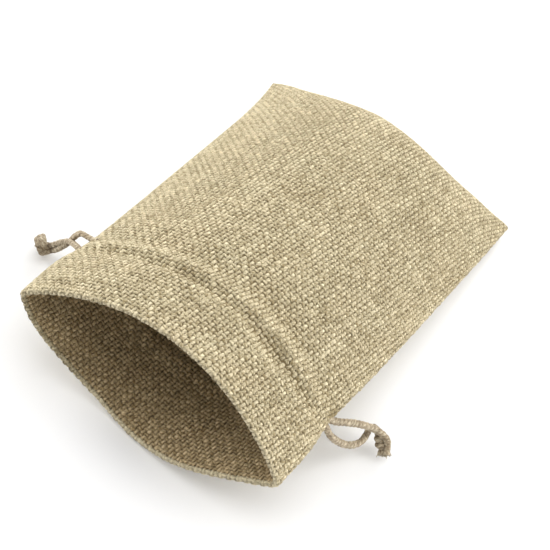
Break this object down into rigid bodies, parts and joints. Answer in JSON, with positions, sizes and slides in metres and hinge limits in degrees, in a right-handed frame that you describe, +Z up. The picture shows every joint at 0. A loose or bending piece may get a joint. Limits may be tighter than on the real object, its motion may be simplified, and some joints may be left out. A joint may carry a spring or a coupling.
{
  "type": "burlap drawstring sack",
  "caption": "Small coarse-cloth drawstring sack lying on its back with its mouth gaping open and a knotted cord tie hanging from each side seam.",
  "frame": {"origin": "on the surface that the sack lies on, under the middle of the sack's outline, ties left out", "axes": "+X across the sack, towards the right side seam seen from the mouth; +Y from the mouth to the closed end; +Z up"},
  "size_m": [0.1265, 0.1414, 0.044],
  "materials": {
    "sack_cloth": "coarse plain weave of slubby straw-coloured yarns, matt",
    "tie_cord": "braided greyish-brown cord, matt"
  },
  "bodies": {
    "root": {"sack_cloth": "sack_cloth", "left_tie_far": "tie_cord", "left_tie_near": "tie_cord", "left_tie_knot": "tie_cord", "right_tie_far": "tie_cord", "right_tie_near": "tie_cord", "right_tie_knot": "tie_cord"}
  },
  "joints": []
}
